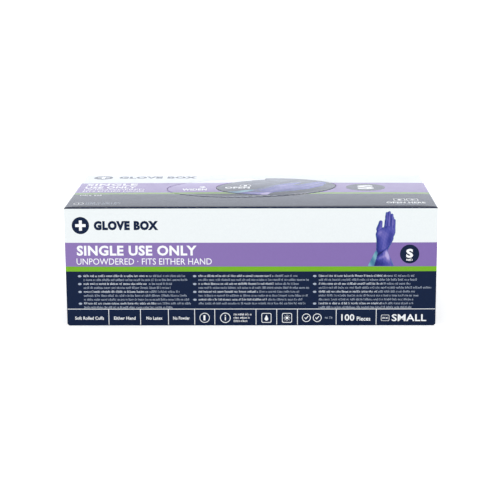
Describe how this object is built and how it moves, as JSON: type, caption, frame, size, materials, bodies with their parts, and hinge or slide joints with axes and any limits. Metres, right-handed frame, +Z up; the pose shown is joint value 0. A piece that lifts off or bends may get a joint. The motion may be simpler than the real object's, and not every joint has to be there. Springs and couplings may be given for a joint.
{
  "type": "disposable glove dispenser carton",
  "caption": "Flat paperboard carton of disposable nitrile gloves, with a two-part perforated oval in its top to pull them through and glued end flaps.",
  "frame": {"origin": "centre of the underside, which rests on the table", "axes": "+Z up, +X to the right along the long side as the printed front is seen, +Y towards the back; the front panel faces -Y"},
  "size_m": [0.244, 0.127, 0.08],
  "materials": {
    "printed_board": "gloss",
    "plain_board": "matte",
    "hot_melt": "satin",
    "nitrile": "satin"
  },
  "bodies": {
    "carton": {"back_panel": "printed_board", "bottom_panel": "printed_board", "front_panel": "printed_board", "glove_layer_01": "nitrile", "glove_layer_02": "nitrile", "glove_layer_03": "nitrile", "glove_layer_04": "nitrile", "glove_layer_05": "nitrile", "glove_layer_06": "nitrile", "glove_layer_07": "nitrile", "glove_layer_08": "nitrile", "glove_layer_09": "nitrile", "glove_layer_10": "nitrile", "glove_layer_11": "nitrile", "glove_layer_12": "nitrile", "glove_layer_13": "nitrile", "glove_layer_14": "nitrile", "glove_layer_15": "nitrile", "glove_layer_16": "nitrile", "glove_layer_17": "nitrile", "glove_layer_18": "nitrile", "glove_layer_19": "nitrile", "glove_layer_20": "nitrile", "glue_flap": "plain_board", "left_back_dust_flap": "plain_board", "left_dust_glue": "hot_melt", "left_front_dust_flap": "plain_board", "right_back_dust_flap": "plain_board", "right_dust_glue": "hot_melt", "right_front_dust_flap": "plain_board", "seam_glue_line": "hot_melt", "top_panel": "printed_board"},
    "first_tear_panel": {"first_tear_panel": "printed_board"},
    "second_tear_panel": {"second_tear_panel": "printed_board"},
    "right_outer_flap": {"right_outer_flap": "printed_board"},
    "left_outer_flap": {"left_outer_flap": "printed_board"},
    "right_inner_flap": {"right_inner_flap": "plain_board", "right_flap_glue": "hot_melt"},
    "left_inner_flap": {"left_inner_flap": "plain_board", "left_flap_glue": "hot_melt"}
  },
  "joints": [
    {"name": "first_tear_hinge", "type": "hinge", "parent": "carton", "child": "first_tear_panel", "pos_m": [0.05866, 0.0148, 0.08], "axis": [0, 1, 0], "range_deg": [0, 165]},
    {"name": "second_tear_hinge", "type": "hinge", "parent": "carton", "child": "second_tear_panel", "pos_m": [-0.05866, 0.0022, 0.08], "axis": [0, -1, 0], "range_deg": [0, 165]},
    {"name": "right_outer_flap_hinge", "type": "hinge", "parent": "carton", "child": "right_outer_flap", "pos_m": [0.1215, 0, 0.0795], "axis": [0, -1, 0], "range_deg": [0, 120]},
    {"name": "left_outer_flap_hinge", "type": "hinge", "parent": "carton", "child": "left_outer_flap", "pos_m": [-0.1215, 0, 0.0795], "axis": [0, 1, 0], "range_deg": [0, 120]},
    {"name": "right_inner_flap_hinge", "type": "hinge", "parent": "carton", "child": "right_inner_flap", "pos_m": [0.12085, 0, 0.0005], "axis": [0, 1, 0], "range_deg": [0, 90]},
    {"name": "left_inner_flap_hinge", "type": "hinge", "parent": "carton", "child": "left_inner_flap", "pos_m": [-0.12085, 0, 0.0005], "axis": [0, -1, 0], "range_deg": [0, 90]}
  ],
  "couplings": [
    {"joint": "right_inner_flap_hinge", "follows": "right_outer_flap_hinge", "ratio": 0.75},
    {"joint": "left_inner_flap_hinge", "follows": "left_outer_flap_hinge", "ratio": 0.75}
  ]
}
